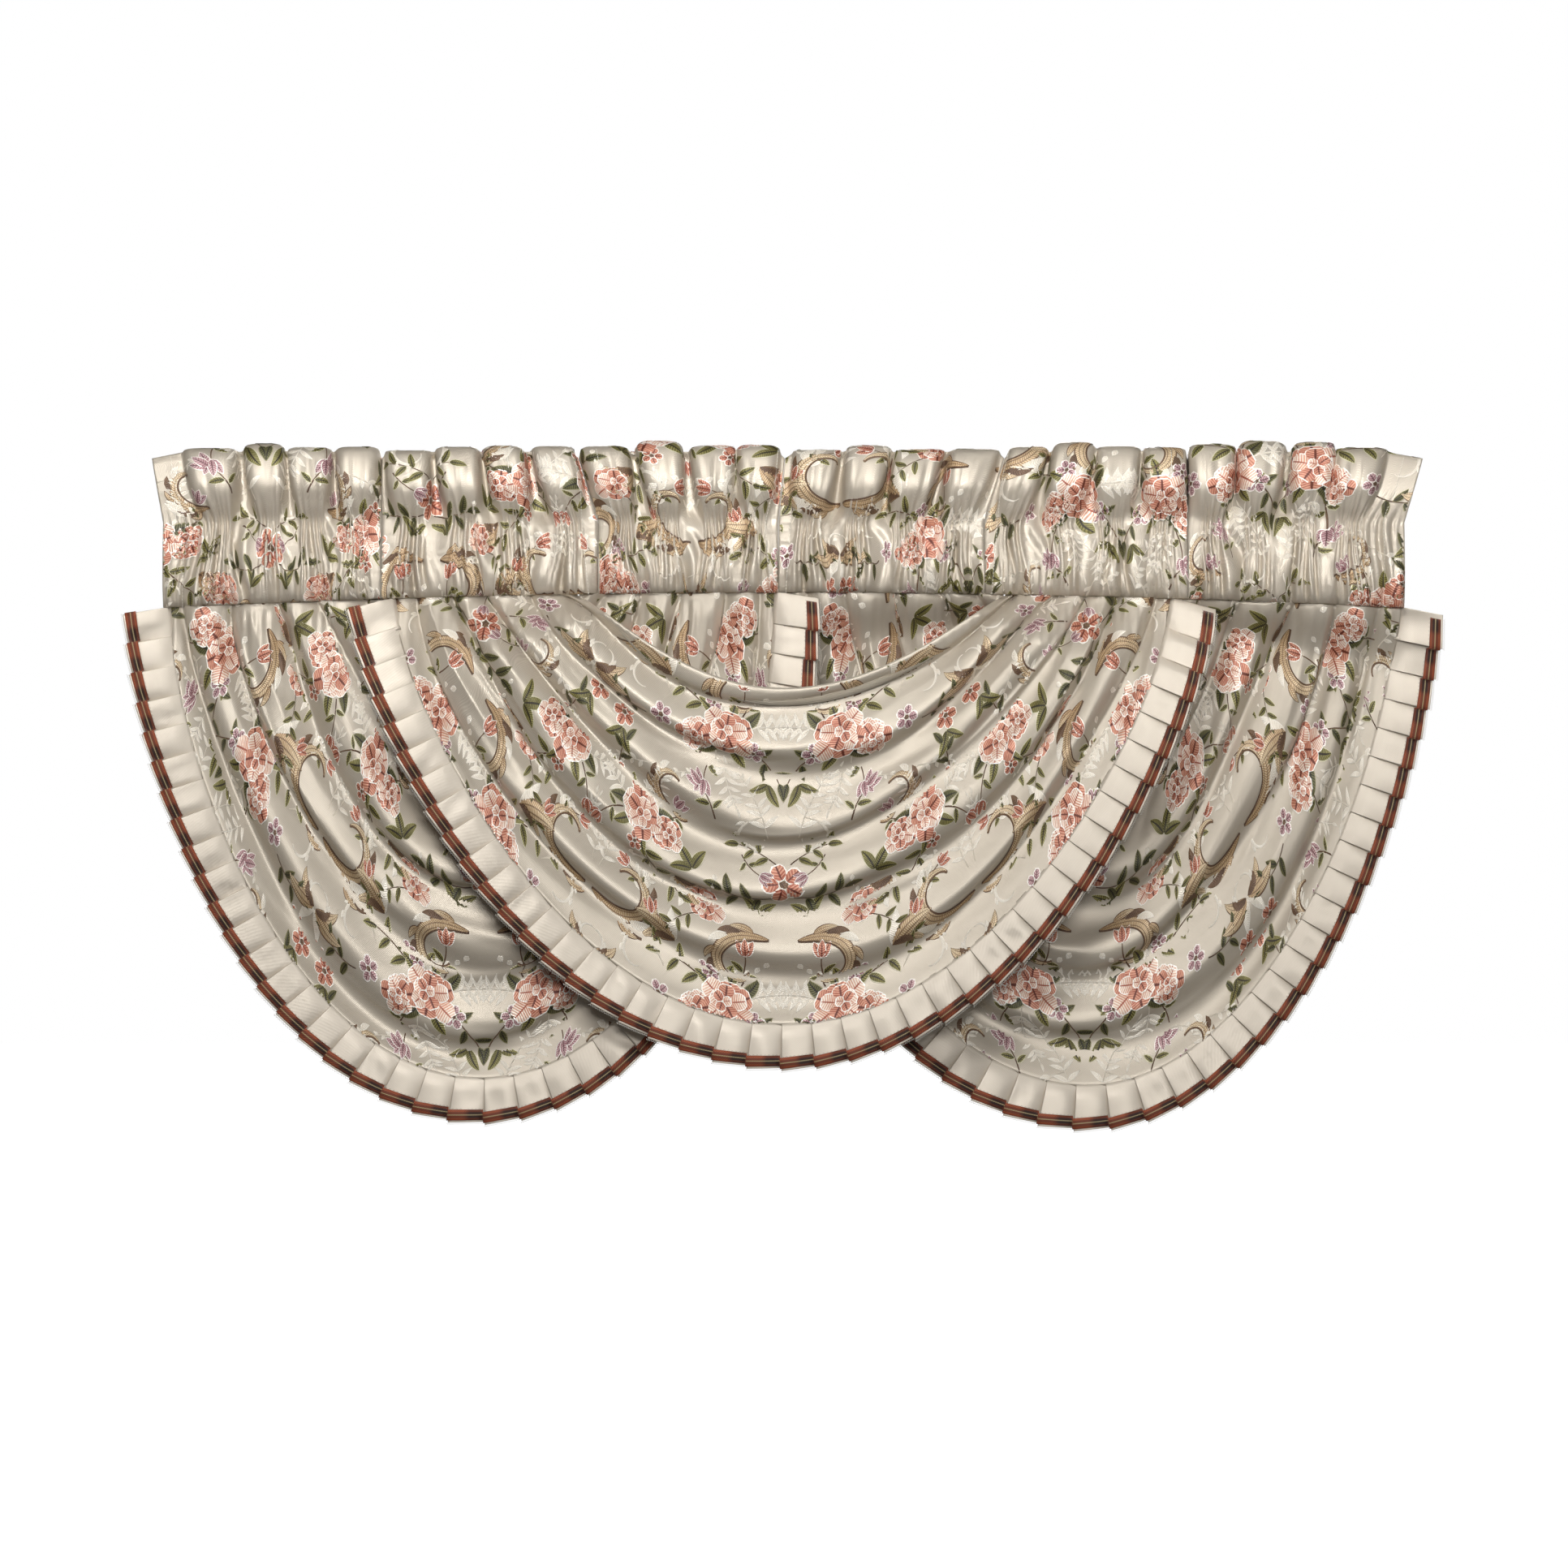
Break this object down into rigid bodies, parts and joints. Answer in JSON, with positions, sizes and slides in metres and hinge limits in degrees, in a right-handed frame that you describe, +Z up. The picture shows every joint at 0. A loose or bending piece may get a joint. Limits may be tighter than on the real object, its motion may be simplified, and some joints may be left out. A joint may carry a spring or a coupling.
{
  "type": "waterfall swag drape with ruffle trim",
  "caption": "Row of overlapping gathered swags in floral brocade on rod-pocket heads, with knife-pleated satin ruffles edged in plaid ribbon.",
  "frame": {"origin": "middle of the top edge of the heading, on the line of the rod", "axes": "+X to the right along the heading as seen from the front, -Y the front of the swags, +Z up"},
  "size_m": [1.7957, 0.1243, 0.9391],
  "materials": {
    "brocade": "champagne satin ground with woven flowers, leaves and scrolls",
    "ruffle_satin": "plain cream satin, pressed in knife pleats",
    "ribbon_plaid": "rust and dark brown plaid ribbon with a fine gold centre line and pale picot edges"
  },
  "bodies": {
    "root": {"head_left_outer": "brocade", "head_middle_left": "brocade", "head_left_inner": "brocade", "head_right_inner": "brocade", "head_middle_right": "brocade", "head_right_outer": "brocade", "swag_left": "brocade", "swag_middle": "brocade", "swag_right": "brocade", "ruffle_left": "ruffle_satin", "ruffle_middle": "ruffle_satin", "ruffle_right": "ruffle_satin", "ribbon_left": "ribbon_plaid", "ribbon_middle": "ribbon_plaid", "ribbon_right": "ribbon_plaid"}
  },
  "joints": []
}
